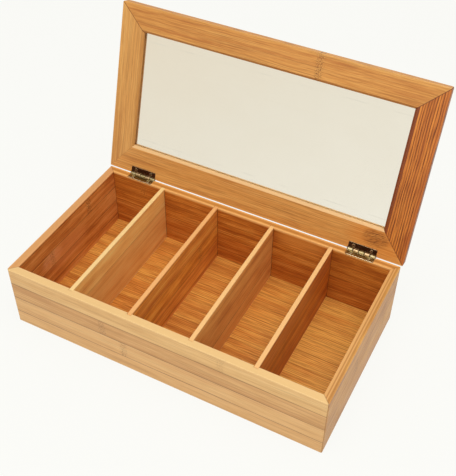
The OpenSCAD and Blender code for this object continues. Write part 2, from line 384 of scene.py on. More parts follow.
class Bamboo:
    """One board's bamboo, as values that are worked out from where a point lies on the board.

    x runs along the board, y across it and z through it, in millimetres. fibre and layer are y and z with the fibres'
    slow sway added. strip is the number of the point's strip, and to_line is how far the nearest glue line is. The
    others are noise of 0 to 1: broad is as wide as a band of fibres, fine as a bundle and hair as a single one, and
    dark picks out the dark streaks.
    """

    def __init__(self, name: str, look: BambooFinish, board: Board) -> None:
        """Works out the values. Each noise is stretched along the board and divided by its own grain size.

        Args:
            name: The material's name.
            look: The board's finish.
            board: How it lies.
        """
        self.look, self.board, self.seed = look, board, board.seed
        self.recipe = Recipe(bpy.data.materials.new(name))
        noise = self.recipe.noise
        self.x, self.y, self.z = (self.recipe.measure(*way) for way in (board.along, board.across, board.through))
        sway = (noise(self.x / 120 + self.seed, self.y / 18, self.z / 18, 1.0) - 0.5) * 2.4
        self.fibre, self.layer = self.y + sway, self.z + sway
        place = (self.y - board.first) / board.strip
        self.strip = place.floor()
        self.to_line = board.strip * (0.5 - abs(place - self.strip - 0.5))
        self.broad = noise(self.x / 230 + self.seed, self.fibre / 7 + self.strip * 3.1, self.layer / 7, 2.0)
        along = self.x / 38 + self.strip * 7.3 + self.seed
        self.fine = noise(along, self.fibre / 1.1, self.layer / 1.1, 2.0, 0.6)
        self.hair = noise(self.x / 14 - self.seed, self.fibre / 0.5, self.layer / 0.5, 2.0, 0.6)
        self.dark = self.fine.rise(0.50, 0.62) * (0.5 + 1.4 * (self.broad - 0.4)).least(1.0).most(0.15)

    def material(self) -> bpy.types.Material:
        """Lays the wood, its smudges, node marks and glue lines and the board's edges over one another.

        Returns:
            The material.
        """
        look, recipe = self.look, self.recipe
        colour = self.add_streaks(self.wood())
        for smudge in self.board.smudges:
            colour = recipe.mix(self.smudged(smudge), colour, smudge.tint)
        ridge, specks, flecks = self.marks()
        broken = 0.5 + 0.5 * recipe.noise(self.x / 40 + self.seed, self.strip * 5.7, self.seed).rise(0.35, 0.6)
        glue = self.to_line.fall(0.15, 0.55) * broken * look.line_share
        for share, tint in ((flecks, look.pale), (specks, look.line), (ridge, look.line), (glue, look.line)):
            colour = recipe.mix(share, colour, tint)
        height = 0.5 + (self.fine - 0.5) * 0.7 + (self.hair - 0.5) * 0.5 - glue * 0.8 - ridge * 0.5
        return recipe.finish(recipe.principled(
            Base_Color=self.add_edges(colour),
            Roughness=look.gloss + (self.fine - 0.5) * 0.25 + self.dark * 0.1,
            Normal=recipe.bump(height, 0.10, 0.45),
            Specular_IOR_Level=0.26,
            Coat_Weight=0.06,
            Coat_Roughness=0.25,
        ))

    def wood(self) -> bpy.types.NodeSocket:
        """Works out the wood's own colour.

        A level of 0 to 1 is read from the finish's tones. It is the sum of the noises, each by its strength, and of
        how pale the strip is, by chance and by the board's tints.

        Returns:
            The colour, with the outer face's tones where the finish has them, in place of the inner tones that hold
            painted shade and bounced light.
        """
        look, board, recipe = self.look, self.board, self.recipe
        light, hue = recipe.chance(self.strip, self.seed)
        paler: Number = (light - 0.5) * look.spread
        rosier: Number = hue * look.blush
        for strip, pale, rose in board.tints:
            here = abs(self.strip - strip).fall(0.2, 0.4)
            paler = paler + here * pale
            rosier = rosier + here * rose
        if board.lift:
            paler = paler + self.x.most(0.0) * (board.lift / 100)
        cloud = recipe.noise(self.x / 42 + self.seed, self.y / 17, self.z / 17, 2.0) - 0.5
        bands = (self.broad - 0.5) * 1.6 + (self.hair - 0.5) * 0.9 + self.fine.fall(0.30, 0.46) * 0.22
        level = 0.5 + cloud * look.clouds + bands * look.contrast + paler
        colour = recipe.mix(rosier, recipe.ramp(level, look.deep, look.body, look.pale), look.rosy)
        # the inner faces keep the tones with painted shade and bounced light; the outer face takes the outside tones
        if look.outside:
            colour = recipe.mix(self.z.fall(0.6, 1.4), colour, recipe.ramp(level, *look.outside))
        return colour

    def add_streaks(self, colour: bpy.types.NodeSocket) -> bpy.types.NodeSocket:
        """Draws the dark streaks, the thin strands and the rows of fine lines that run with the fibres.

        Args:
            colour: The wood's own colour.

        Returns:
            The colour with all of them on it.
        """
        look, noise, mix = self.look, self.recipe.noise, self.recipe.mix
        strand = noise(self.x / 95 - self.seed, self.fibre / 0.85, self.layer / 0.85, 1.0).rise(0.56, 0.64)
        colour = mix(self.dark * look.streaks, colour, look.deep)
        colour = mix(strand * look.strands, colour, look.line)
        if look.lines:
            bent = noise(self.x / 34, self.fibre / 8, self.seed, 2.0) * look.line_sway
            row = self.fibre / look.line_gap + bent
            thin = 1 - abs(row - row.floor() - 0.5) * 2
            worn = 0.4 + 0.6 * noise(self.x / 26, self.fibre / 2.2, self.seed + 9, 1.0).rise(0.35, 0.6)
            colour = mix(thin.rise(0.45, 0.95) * worn * look.lines, colour, look.line)
        return colour

    def add_edges(self, colour: bpy.types.NodeSocket) -> bpy.types.NodeSocket:
        """Tints the board's upper edge and its joints with other boards, and paints light and shade on its rims and its
        bevel.

        Args:
            colour: The colour away from the edges.

        Returns:
            The colour with the edges on it.
        """
        look, board, mix, y, z = self.look, self.board, self.recipe.mix, self.y, self.z
        crown = y.rise(board.width - 1.5, board.width - 0.8)
        # where the crown starts inward, the outer band of the top keeps the face's tone: painted shade of a rounded
        # edge
        if look.crown_start:
            crown = crown * z.rise(look.crown_start - 0.3, look.crown_start + 0.3)
        colour = mix(crown * look.crown_share, colour, look.crown)
        for place in look.crown_lines:
            colour = mix(abs(z - place).fall(0.3, 0.9) * crown * 0.6, colour, look.deep)
        # rim: painted light along the eased edges, a highlight in a pale tone and shade in a dark one
        to_edge = y.least(board.width - y) + z.least(board.thick - z)
        uneven = (self.recipe.noise(self.x / 22, y / 3, z / 3 + self.seed) - 0.5) * 1.2
        rim = (to_edge + uneven).fall(look.rim_width * 0.4, look.rim_width)
        colour = mix(rim * look.rim_share, colour, look.rim)
        # bevel: painted light and shade on the bevel round a window and the short wall behind it, pale where it faces
        # the light and dark where it faces away
        if look.bevel_shading_share:
            bevel = (board.width - y + z.least(1.9) * 1.25).fall(look.bevel_reach, look.bevel_reach + 0.5)
            colour = mix(bevel * look.bevel_shading_share, colour, look.bevel)
        for seam in self.seams():
            colour = mix(seam, colour, look.line)
        return colour

    def marks(self) -> tuple[Number, Number, Number]:
        """Works out the node marks, each a wavy broken ridge in one strip with specks on both sides.

        Returns:
            How strong the ridges, the dark specks beside them and the pale flecks among those are.
        """
        ridge = specks = flecks = 0.0
        if not self.board.marks:
            return ridge, specks, flecks
        noise, seed = self.recipe.noise, self.seed
        wave = (noise(self.y / 2.6, seed, self.strip, 2.0) - 0.5) * 5
        grains = noise(self.x / 1.7, self.y / 0.8, seed, 1.0)
        gaps = noise(self.y / 1.3, seed + 5, 0.0, 1.0).rise(0.45, 0.6)
        for mark in self.board.marks:
            here = abs(self.strip - mark.strip).fall(0.2, 0.4) * mark.strength
            away = abs(self.x + wave - mark.along)
            near = away.fall(2.0, 6.0) * here
            ridge = ridge + away.fall(0.3, 1.2) * here * gaps * 0.25
            specks = specks + near * (0.08 + 0.85 * grains.rise(0.53, 0.60))
            flecks = flecks + near * grains.fall(0.38, 0.46) * 0.5
        return ridge, specks, flecks

    def smudged(self, smudge: Smudge) -> Value:
        """Works out an oval that fades outwards, broken up by fibres and by short ticks across them.

        Args:
            smudge: Where it lies.

        Returns:
            How strong it is.
        """
        u, v = (self.x - smudge.along) / smudge.reach[0], (self.y - smudge.across) / smudge.reach[1]
        oval = (u * u + v * v).fall(0.05, 1.0) * smudge.strength
        if not smudge.ticks:
            return oval * (0.6 + 0.4 * self.fine.rise(0.4, 0.6))
        ticks = self.recipe.noise(self.x / 6, (self.y + self.x * 0.25) / 1.1, 3.0, 1.0).rise(0.46, 0.60)
        torn = 0.55 * ticks + 0.45 * self.fine.rise(0.42, 0.58)
        return oval * (1 - smudge.ticks + smudge.ticks * torn)

    def seams(self) -> list[Value]:
        """Works out the thin dark lines where the board meets others.

        Returns:
            How strong the lines at its mitres are, each by how near a point is to the mitre's plane, or how strong the
            painted shade is in the gaps of the grooves that its ends go into.
        """
        board, x, y = self.board, self.x, self.y
        if board.housed:
            inner = board.length / 2 - board.housed
            # at a groove the line is painted shade in the gap where the board's end goes in
            return [abs(abs(x) - inner).fall(0.3, 0.8) * y.fall(board.width - 1.5, board.width - 0.5) * 0.7]
        if board.mitre is Mitre.NONE:
            return []
        rise, run = (y, board.width) if board.mitre is Mitre.ACROSS else (self.z, board.thick)
        lines = []
        for side, end, share in zip((-1, 1), board.ends, board.seams):
            away = abs(((board.length / 2 - x * side) * run - rise * end) / math.hypot(run, end))
            lines.append(away.fall(0.15, 0.6) * share)
        return lines


# ---- fittings' finishes


@dataclass(frozen=True)
class MetalFinish:
    """Plated metal that is dark in its hollows and rubbed bright on its high places, which on plates' edges is also a
    painted highlight.
    """

    dull: Tone
    bright: Tone
    rough: float = 0.34

    def make(self, name: str) -> bpy.types.Material:
        """Makes the material. Wear, with the painted highlight on plates' edges, is stored on the surface, and noise
        breaks it up.

        Args:
            name: The material's name.

        Returns:
            The material.
        """
        r = Recipe(bpy.data.materials.new(name))
        x, y, z = (r.measure(way, 0.0) for way in (X, Y, Z))
        wear_and_sheen = Value(r, r.node("ShaderNodeAttribute", attribute_name="wear_and_sheen").outputs["Fac"])
        cloud = r.noise(x / 3.1, y / 2.3, z / 2.3, 3.0, 0.6)
        grit = r.noise(x / 0.35, y / 0.35, z / 0.35, 2.0, 0.6)
        brushed = r.noise(x / 6.0, y / 0.14, z / 0.14, 2.0, 0.5)
        rubbed_and_sheen = (wear_and_sheen * 0.9 + (cloud - 0.5) * 0.7 + (brushed - 0.5) * 0.3).rise(0.15, 0.85)
        colour = r.mix(rubbed_and_sheen, self.dull, self.bright)
        colour = r.mix(grit.rise(0.6, 0.75) * 0.4, colour, self.dull)
        return r.finish(r.principled(
            Base_Color=colour,
            Metallic=1.0,
            Roughness=self.rough + (cloud - 0.5) * 0.3 - rubbed_and_sheen * 0.1,
            Normal=r.bump(0.5 + (grit - 0.5) * 0.4 + (brushed - 0.5) * 0.3, 0.05, 0.35),
        ))


@dataclass(frozen=True)
class PaneFinish:
    """Clear plastic sheet with a slight cream tint, which lets the lamps through."""

    tint: Tone = (235, 228, 212)
    warm: Tone = (232, 221, 201)
    pale: Tone = (241, 236, 223)
    dim: Tone = (214, 208, 194)
    passed: Tone = (246, 242, 232)
    line_inward: float = 9.0

    def make(
        self, name: str, along: tuple[Triple, float], across: tuple[Triple, float], width: float, height: float
    ) -> bpy.types.Material:
        """Makes the material: tinted glass to the eye, and clear to the light of the lamps.

        Args:
            name: The material's name.
            along: A direction along the window, with what is added to it so that it is 0 in the middle.
            across: The same for the direction from the window's free side to its hinged side.
            width: How wide the window is.
            height: How high it is.

        Returns:
            The material.
        """
        r = Recipe(bpy.data.materials.new(name))
        x, y = r.measure(*along), r.measure(*across)
        haze = r.noise(x / 60, y / 40, 0.0, 3.0)
        # the tint grows paler towards the right and the hinged side: a painted gradient of light
        painted_light_slant = 0.5 + x / width * 0.6 + y / height * 0.4 + (haze - 0.5) * 0.3
        colour = r.ramp(painted_light_slant, self.warm, self.tint, self.pale)
        inward = height / 2 - abs(y)
        broken = r.noise(x / 40, 0.0, 7.0).rise(0.45, 0.6)
        colour = r.mix(abs(inward - self.line_inward).fall(0.3, 0.9) * broken * 0.25, colour, self.dim)
        sheet = r.principled(
            Base_Color=colour,
            Roughness=0.02 + haze.rise(0.4, 0.7) * 0.03,
            Transmission_Weight=1.0,
            IOR=1.49,
        )
        clear = r.node("ShaderNodeBsdfTransparent", {"Color": self.passed}).outputs[0]
        shadow = r.node("ShaderNodeLightPath").outputs["Is Shadow Ray"]
        return r.finish(r.blend(shadow, sheet, clear))


# ---- surfaces worked out on grids


class Shell:
    """A piece's surface, gathered from grids of points, with how worn each point is, which on plates' edges holds a
    painted highlight too.
    """

    def __init__(self) -> None:
        """Starts with no surface."""
        self.points: list[np.ndarray] = []
        self.wear_and_sheen: list[np.ndarray] = []
        self.faces: list[Sequence[int]] = []
        self.count = 0

    def add_points(self, points: np.ndarray, wear_and_sheen: np.ndarray) -> int:
        """Adds points without faces.

        Args:
            points: An array whose last axis is X, Y and Z, in millimetres.
            wear_and_sheen: How worn each point is.

        Returns:
            The first point's number.
        """
        first = self.count
        self.points.append(points.reshape(-1, 3))
        self.wear_and_sheen.append(wear_and_sheen.reshape(-1))
        self.count += len(self.points[-1])
        return first

    def add_faces(self, *corners: np.ndarray | int) -> None:
        """Joins points with faces, given by an array of point numbers for each corner, or one number for all."""
        faces = np.stack(np.broadcast_arrays(*corners), -1)
        self.faces.extend(faces.reshape(-1, len(corners)).tolist())

    def add_rings(self, rings: np.ndarray, wear_and_sheen: np.ndarray, closed: bool = False) -> int:
        """Adds rings of points and joins each point by a quad to the next ones in its ring and in the next ring.

        Args:
            rings: The points, an array of rings by points by three.
            wear_and_sheen: How worn each point is.
            closed: Whether the last ring joins the first.

        Returns:
            The first point's number.
        """
        rows, columns = rings.shape[:2]
        i, j = np.meshgrid(np.arange(rows if closed else rows - 1), np.arange(columns), indexing="ij")
        first = self.add_points(rings, wear_and_sheen)
        here, below, right = first + i * columns, first + (i + 1) % rows * columns, (j + 1) % columns
        self.add_faces(here + j, here + right, below + right, below + j)
        return first

    def add_round(self, rings: np.ndarray, wear_and_sheen: np.ndarray, middles: np.ndarray, worn: np.ndarray) -> None:
        """Adds rings that are closed by a fan of triangles from a middle point at each end.

        Args:
            rings: The points, an array of rings by points by three.
            wear_and_sheen: How worn each point is.
            middles: The middle points of the first ring and of the last one.
            worn: How worn those two are.
        """
        rows, turns = rings.shape[:2]
        first = self.add_rings(rings, wear_and_sheen)
        start = self.add_points(middles, worn)
        k = np.arange(turns)
        after = (k + 1) % turns
        last = first + (rows - 1) * turns
        self.add_faces(start, first + after, first + k)
        self.add_faces(start + 1, last + k, last + after)

    def add_slab(
        self, low: Triple, high: Triple, roll: float, corner: float = 0.0, dishes: Sequence[tuple[float, float]] = (),
        dish: tuple[float, float] = (0.0, 0.0), turn: Matrix | None = None, worn: float = 0.15,
    ) -> None:
        """Adds a flat plate whose edges roll over, as stamped plates' do.

        The plate is a sheet of points over its outline, which is a rectangle whose two corners at low Y are round.
        A point's height is the plate's face, less a quarter circle of radius roll near the outline, and less a
        cone-shaped dish round each screw. The lower face is the same sheet upside down, without the dishes.

        Args:
            low: The lowest corner, in millimetres.
            high: The highest corner.
            roll: How round the edges are.
            corner: Radius of the outline's two corners at low Y.
            dishes: The screws' places, X and Y.
            dish: A dish's radius and depth.
            turn: What turns the plate about the origin.
            worn: How worn the middle of its face is.
        """
        # points lie closer together towards the rolled edges
        u = np.linspace(-1, 1, 97)
        u = np.sign(u) * (1 - (1 - np.abs(u)) ** 1.3)
        v = 0.5 - 0.5 * np.cos(np.pi * np.linspace(0, 1, 41))
        y = low[1] + v * (high[1] - low[1])
        from_end = np.clip(corner - (y - low[1]), 0, corner)
        half = (high[0] - low[0]) / 2 - (corner - np.sqrt(np.maximum(corner**2 - from_end**2, 0)))
        xs = (low[0] + high[0]) / 2 + u[:, None] * half[None, :]
        ys = np.broadcast_to(y, xs.shape)
        edge = np.minimum(half - np.abs(u[:, None] * half), np.minimum(ys - low[1], high[1] - ys))
        near = np.clip(roll - edge, 0, roll)
        fall = roll - np.sqrt(np.maximum(roll**2 - near**2, 0))
        sunk = np.zeros_like(xs)
        for place in dishes:
            away = np.hypot(xs - place[0], ys - place[1])
            sunk = np.maximum(sunk, np.clip(dish[0] - away, 0, dish[1]))
        top = np.stack([xs, ys, high[2] - fall - sunk], -1)
        bottom = np.stack([xs, ys, low[2] + fall], -1)
        rings = np.concatenate([bottom, top[:, ::-1]], axis=1)
        # the face's wear, and a bright band along the rolled edges that is partly wear and partly a painted highlight
        # of the lit edge; the dishes are darker
        rubbed_and_sheen = worn + 0.55 * np.exp(-((edge / 0.45) ** 2)) - 0.8 * sunk
        wear_and_sheen = np.concatenate([rubbed_and_sheen * 0, rubbed_and_sheen[:, ::-1]], axis=1)
        if turn is not None:
            rings = rings @ np.array(turn.to_3x3()).T
        rows, columns = rings.shape[:2]
        first = self.add_rings(rings, wear_and_sheen)
        last, k = first + (rows - 1) * columns, np.arange(columns // 2 - 1)
        self.add_faces(first + columns - 1 - k, first + columns - 2 - k, first + k + 1, first + k)
        self.add_faces(last + k, last + k + 1, last + columns - 2 - k, last + columns - 1 - k)

    def add_turned(
        self, along: np.ndarray, radius: np.ndarray, closed: bool = False, seam: float = 0.0, worn: float = 0.5
    ) -> None:
        """Adds a turned shape about the X axis: a profile carried round in a circle.

        Args:
            along: The profile's places along the axis, in millimetres.
            radius: Its radius at each place. A radius of 0 at an end closes the shape there.
            closed: Whether the profile's end joins its start, as on a ring.
            seam: Depth of a groove along the shape, where a rolled strip's end meets it.
            worn: How worn the outermost points are.
        """
        turns, seam_at, seam_half = 48, np.radians(200), 0.09
        angle = np.linspace(0, 2 * np.pi, turns, endpoint=False)
        outer = radius.max()
        groove = seam * np.exp(-(((angle - seam_at) / seam_half) ** 2))
        sizes = radius[:, None] - groove[None, :] * (radius[:, None] > 0.8 * outer)
        lengths = np.broadcast_to(along[:, None], sizes.shape)
        points = np.stack([lengths, sizes * np.cos(angle), sizes * np.sin(angle)], -1)
        wear_and_sheen = np.broadcast_to(worn * (radius[:, None] / outer) ** 3, sizes.shape) - groove[None, :] * 4
        if closed:
            self.add_rings(points, wear_and_sheen, closed=True)
        else:
            self.add_round(points[1:-1], wear_and_sheen[1:-1], points[[0, -1], 0], wear_and_sheen[[0, -1], 0])

    def add_screw(self, place: Triple, head: tuple[float, float], shank: tuple[float, float]) -> None:
        """Adds a countersunk screw that points down.

        The surface is rings about the screw's axis. From the middle of the head they go out over a low dome, down
        the cone to the shank and along it to the point. Two crossed bars of the middle rings are pressed in.

        Args:
            place: The middle of the head's top, in millimetres.
            head: The head's radius and depth.
            shank: The shank's radius and the screw's length.
        """
        turns, bow, tip = 64, 0.10, 1.6
        bar_depth, bar_half, bar_reach = 0.42, 0.26, 0.62 * head[0]
        inner = np.linspace(0.04, 0.97, 22) * head[0]
        dome = bow * (1 - (inner / head[0]) ** 2)
        radius = np.concatenate([inner, [head[0], head[0], shank[0], shank[0], 0.05]])
        height = np.concatenate([dome, [-0.02, -0.08, -head[1], tip - shank[1], -shank[1]]])
        angle = np.linspace(0, 2 * np.pi, turns, endpoint=False)
        xs, ys = radius[:, None] * np.cos(angle), radius[:, None] * np.sin(angle)
        beside, along = np.minimum(np.abs(xs), np.abs(ys)), np.maximum(np.abs(xs), np.abs(ys))
        pressed = bar_depth * np.clip((bar_half - beside) / 0.1, 0, 1) * np.clip((bar_reach - along) / 0.2, 0, 1)
        pressed[len(inner):] = 0
        worn = np.where(radius > 0.9 * head[0], 0.9, 0.45)[:, None] - pressed
        points = np.stack([xs, ys, height[:, None] - pressed], -1)
        middles = np.array([[0, 0, dome[0] - bar_depth], [0, 0, -shank[1]]])
        self.add_round(points[:, ::-1] + np.array(place), worn[:, ::-1], middles + np.array(place), np.zeros(2))

    def make(self, name: str, change: Matrix) -> bpy.types.Object:
        """Makes the piece as a mesh object in metres.

        Args:
            name: The object's name.
            change: What moves and turns the points, still in millimetres, to their place.

        Returns:
            The new object, at the origin.
        """
        points = np.concatenate(self.points)
        points = points @ np.array(change.to_3x3()).T + np.array(change.translation)
        mesh = bpy.data.meshes.new(name)
        mesh.from_pydata((points * MM).tolist(), [], self.faces)
        wear_and_sheen = mesh.attributes.new("wear_and_sheen", "FLOAT", "POINT")
        wear_and_sheen.data.foreach_set("value", np.clip(np.concatenate(self.wear_and_sheen), 0, 1).astype(np.float32))
        mesh.polygons.foreach_set("use_smooth", np.ones(len(mesh.polygons), bool))
        mesh.update()
        return add_object(name, mesh)


def add_object(name: str, data: bpy.types.ID) -> bpy.types.Object:
    """Puts a new object into the scene.

    Args:
        name: Its name.
        data: Its mesh, lamp or camera.

    Returns:
        The object, at the origin.
    """
    made = bpy.data.objects.new(name, data)
    bpy.context.scene.collection.objects.link(made)
    return made


def turned(angle_deg: float, axis: str) -> Matrix:
    """A turn about an axis through the origin, in degrees by the right-hand rule."""
    return Matrix.Rotation(math.radians(angle_deg), 4, axis)


def dress(node: str, material: bpy.types.Material) -> None:
    """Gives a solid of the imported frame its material.

    Args:
        node: The solid's name.
        material: The material, which goes into all its slots.
    """
    for slot in frame["nodes"][node].material_slots:
        slot.material = material
    LOG.info("%s: %s", node, material.name)


def dress_boards(boards: dict[str, tuple[BambooFinish, Board]]) -> None:
    """Gives each board, by its solid's name, its bamboo."""
    for node, (finish, board) in boards.items():
        dress(node, finish.make(f"{node}_bamboo", board))


# ---- the case


# on the back and left walls, which take these tones, pale, body and deep are deeper and more orange than the outside
# tones: painted shade and bounced light of the box's inside
CASE_BAMBOO = BambooFinish(
    pale=(232, 167, 92), body=(212, 136, 63), deep=(165, 88, 31), rosy=(210, 120, 61),
    rim=(216, 158, 100), crown=(206, 149, 90), crown_share=0.9, rim_share=0.6,
    outside=((175, 126, 70), (207, 162, 103), (221, 181, 121)),
)
BACK_BAMBOO = replace(
    CASE_BAMBOO, pale=(227, 155, 69), body=(206, 124, 43), deep=(157, 80, 20), rosy=(200, 108, 39),
    rim=(231, 172, 100), crown=(185, 124, 56), crown_share=0.8, rim_share=0.85, rim_width=3.2, streaks=0.6,
    contrast=1.3, clouds=1.0, lines=0.45, line_gap=2.4, line=(104, 48, 10),
)
LEFT_BAMBOO = replace(
    CASE_BAMBOO, line=(92, 42, 12), line_share=0.95, contrast=1.4, clouds=1.2, streaks=0.4, strands=0.15,
)
FRONT_BAMBOO = BambooFinish(
    pale=(223, 183, 123), body=(210, 165, 105), deep=(177, 128, 72), rosy=(206, 153, 101),
    rim=(224, 186, 127), crown=(222, 183, 123), crown_share=0.9, contrast=0.8, clouds=0.3, streaks=0.25,
    spread=0.0, blush=0.1, line=(96, 58, 26), line_share=0.95,
)
FLOOR_BAMBOO = BambooFinish(
    pale=(241, 180, 84), body=(223, 148, 63), deep=(174, 100, 33), rosy=(219, 136, 58),
    rim=(236, 176, 100), crown=(220, 146, 72), rim_share=0.0, line_share=0.5, contrast=1.3, clouds=0.6,
    streaks=0.7, strands=0.3, lines=0.5, line_gap=2.3, line=(134, 66, 18),
)
SIDE_BAMBOO = BambooFinish(
    pale=(209, 160, 85), body=(193, 136, 64), deep=(156, 96, 39), rosy=(189, 127, 68),
    rim=(222, 166, 102), crown=(213, 158, 92), crown_share=0.9, crown_start=2.6, crown_lines=(5.2, 2.7),
    rim_share=0.3, clouds=1.0, streaks=0.25, outside=((166, 108, 45), (197, 140, 67), (212, 159, 82)),
)


@dataclass
class Case:
    """The open case: four mitred walls round a floor panel that is let into them. Sizes are in millimetres."""

    width: float = 360.0
    depth: float = 195.0
    height: float = 79.0
    wall: float = 8.5
    wall_strip: float = 20.8
    floor: float = 4.0
    floor_inset: float = 4.0
    floor_strip: float = 18.8

    def wall_board(self, turn_deg: float, length: float, top_strip: float = 20.0) -> Board:
        """How a wall's board lies.

        Args:
            turn_deg: How far the wall is turned from the front wall, seen from above.
            length: The wall's length.
            top_strip: How wide the strip at its top is.

        Returns:
            The board, without a pattern of its own.
        """
        turn = turned(turn_deg, "Z").to_3x3()
        outer = (self.depth if length == self.width else self.width) / 2
        return Board(
            along=(tuple(turn @ Vector(X)), 0.0), across=(Z, 0.0), through=(tuple(turn @ Vector(Y)), outer),
            length=length, width=self.height, thick=self.wall, strip=self.wall_strip,
            first=self.height - top_strip, mitre=Mitre.THROUGH, ends=(self.wall, self.wall),
        )

    def dress(self) -> None:
        """Gives the walls and the floor panel their bamboo."""
        dress_boards({
            "front_wall": (FRONT_BAMBOO, replace(
                self.wall_board(0, self.width), seed=11.0,
                marks=(Mark(-66, -1, 0.5), Mark(-42, -2, 0.5), Mark(70, 0, 0.3)),
                tints=((0, 0.1, -0.1), (-1, -0.28, 0.25), (-2, 0.1, 0.2), (-3, -0.05, 0.25)),
            )),
            "back_wall": (BACK_BAMBOO, replace(
                self.wall_board(180, self.width, 19.5), seed=24.0,
                marks=(Mark(-96, -1, 0.7), Mark(58, -2, 0.6), Mark(131, 0, 0.5)),
                smudges=(Smudge(-70, 68, (42, 13), (226, 150, 68), 0.5),),
            )),
            "left_wall": (LEFT_BAMBOO, replace(
                self.wall_board(-90, self.depth, 23.0), seed=37.0,
                marks=(Mark(-36, 0, 0.9), Mark(37, -1, 0.5)), tints=((0, -0.1, 0.1),),
                smudges=(
                    Smudge(38, 46, (22, 13), (240, 180, 128), 0.75, 0.8),
                    Smudge(12, 40, (48, 22), (222, 142, 84), 0.55),
                ),
            )),
            "right_wall": (SIDE_BAMBOO, replace(
                self.wall_board(90, self.depth), seed=52.0,
                marks=(Mark(-20, -1, 0.6), Mark(61, -2, 0.5)), tints=((0, 0.05, -0.2), (-1, -0.05, 0.1)),
                smudges=(
                    # a darker patch near the front corner: painted shade of the rounded corner
                    Smudge(-84, 30, (26, 24), (160, 108, 56), 0.4),
                    Smudge(20, 10, (80, 14), (196, 140, 92), 0.5),
                ),
            )),
            "floor_panel": (FLOOR_BAMBOO, Board(
                along=(X, 0.0), across=(Y, self.depth / 2 - self.floor_inset), through=(Z, 0.0), length=self.width,
                width=self.depth - 2 * self.floor_inset, thick=self.floor, strip=self.floor_strip, first=3.0,
                seed=68.0, lift=0.3, marks=(Mark(-139, 6, 0.7), Mark(10, 7, 0.6)),
            )),
        })


# ---- the dividers


DIVIDER_BAMBOO = BambooFinish(
    pale=(241, 184, 89), body=(218, 149, 64), deep=(169, 99, 34), rosy=(198, 116, 66),
    rim=(226, 168, 104), crown=(226, 166, 102), crown_share=0.95, rim_share=0.7, contrast=1.1, clouds=1.0,
)
DIVIDER_BAMBOOS = (
    replace(
        DIVIDER_BAMBOO, pale=(253, 222, 138), body=(250, 199, 114), deep=(226, 160, 82),
        rim=(232, 196, 132), crown=(230, 194, 131), contrast=0.7, streaks=0.2,
    ),
    replace(DIVIDER_BAMBOO, pale=(250, 192, 88), body=(236, 158, 61), deep=(184, 104, 32), line_share=0.9),
    replace(
        DIVIDER_BAMBOO, pale=(244, 190, 106), body=(232, 166, 85), deep=(188, 115, 50),
        rim=(232, 184, 120), crown=(231, 182, 118), streaks=0.3, line_share=0.95, line=(104, 52, 20),
    ),
    replace(
        DIVIDER_BAMBOO, pale=(213, 128, 42), body=(190, 102, 27), deep=(158, 78, 15), streaks=0.25,
        strands=0.05, rim=(232, 182, 118), crown=(231, 179, 116),
    ),
)


@dataclass
class Dividers:
    """The four boards that part the compartments, in millimetres. Each has its own strips, first lines and marks."""

    pitch: float = 69.52
    thick: float = 4.6
    length: float = 182.4
    foot: float = 4.0
    height: float = 75.0
    housed: float = 2.2
    strips: tuple[float, ...] = (50.0, 22.0, 55.0, 26.0)
    lines: tuple[float, ...] = (50.0, 50.0, 24.0, 50.0)
    marks: tuple[tuple[Mark, ...], ...] = ((), (Mark(48, -1, 0.6),), (), (Mark(-30, -1, 0.5),))

    def dress(self) -> None:
        """Gives each divider a bamboo of its own, cut from another part of the stem."""
        dress_boards({f"divider_{i + 1}": (finish, Board(
            along=(Y, 0.0), across=(Z, -self.foot),
            through=((-1.0, 0.0, 0.0), (i - 1.5) * self.pitch + self.thick / 2), length=self.length,
            width=self.height, thick=self.thick, strip=self.strips[i], first=self.lines[i], seed=83.0 + 17 * i,
            housed=self.housed, marks=self.marks[i],
        )) for i, finish in enumerate(DIVIDER_BAMBOOS)})


# ---- the lid


LID_BAMBOO = BambooFinish(
    pale=(221, 166, 88), body=(203, 142, 67), deep=(165, 99, 40), rosy=(201, 127, 59),
    rim=(218, 166, 92), crown=(200, 141, 68), rim_share=0.3, clouds=0.4, streaks=0.5, strands=0.35, lines=0.22,
)
# the bevel tones are painted light and shade round the window: pale on the hinge rail's bevel, which faces the light,
# dark on those of the free rail and the stiles
FREE_RAIL_BAMBOO = replace(LID_BAMBOO, bevel=(150, 92, 44), bevel_shading_share=0.5)
HINGE_RAIL_BAMBOO = replace(LID_BAMBOO, bevel=(222, 180, 124), bevel_shading_share=0.8)
LEFT_STILE_BAMBOO = replace(
    LID_BAMBOO, pale=(220, 174, 99), body=(203, 151, 78), deep=(168, 108, 48), bevel=(140, 84, 40),
    bevel_shading_share=0.25, streaks=0.45,
)
# the right stile's dark rim and bevel are painted shade along its edges and round the window
RIGHT_STILE_BAMBOO = BambooFinish(
    pale=(227, 156, 64), body=(205, 124, 45), deep=(131, 58, 12), rosy=(199, 109, 39),
    rim=(166, 86, 34), crown=(195, 119, 47), rim_share=0.45, rim_width=4.5, bevel=(110, 46, 18),
    bevel_shading_share=0.8, bevel_reach=4.0, contrast=0.8, clouds=0.6, streaks=0.45, strands=0.45, lines=1.0, line_gap=2.5,
    line_sway=0.9, line=(92, 38, 8),
)


